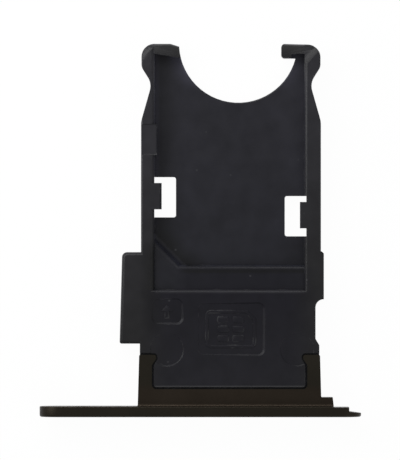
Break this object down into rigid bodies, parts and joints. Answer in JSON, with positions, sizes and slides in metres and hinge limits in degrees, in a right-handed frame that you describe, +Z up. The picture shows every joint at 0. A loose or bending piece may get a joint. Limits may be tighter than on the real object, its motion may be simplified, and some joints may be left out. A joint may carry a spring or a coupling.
{
  "type": "sim card tray",
  "caption": "Flat slide-in sim card tray: a moulded card pocket with side rails, a thumb notch and hold-down tabs, hooked into a slim metal face bar.",
  "frame": {"origin": "middle of the bounding box in plan, at the lowest edge of the face bar", "axes": "+Y the way the tray is pushed in, from the face bar to the ears; +Z up, out of the open card pocket; +X to the right"},
  "size_m": [0.0192, 0.0222, 0.0022],
  "materials": {
    "tray_plastic": "satin moulded, charcoal",
    "bar_metal": "bead blasted and anodised, brown black"
  },
  "bodies": {
    "root": {"card_tray": "tray_plastic", "face_bar": "bar_metal"}
  },
  "joints": []
}
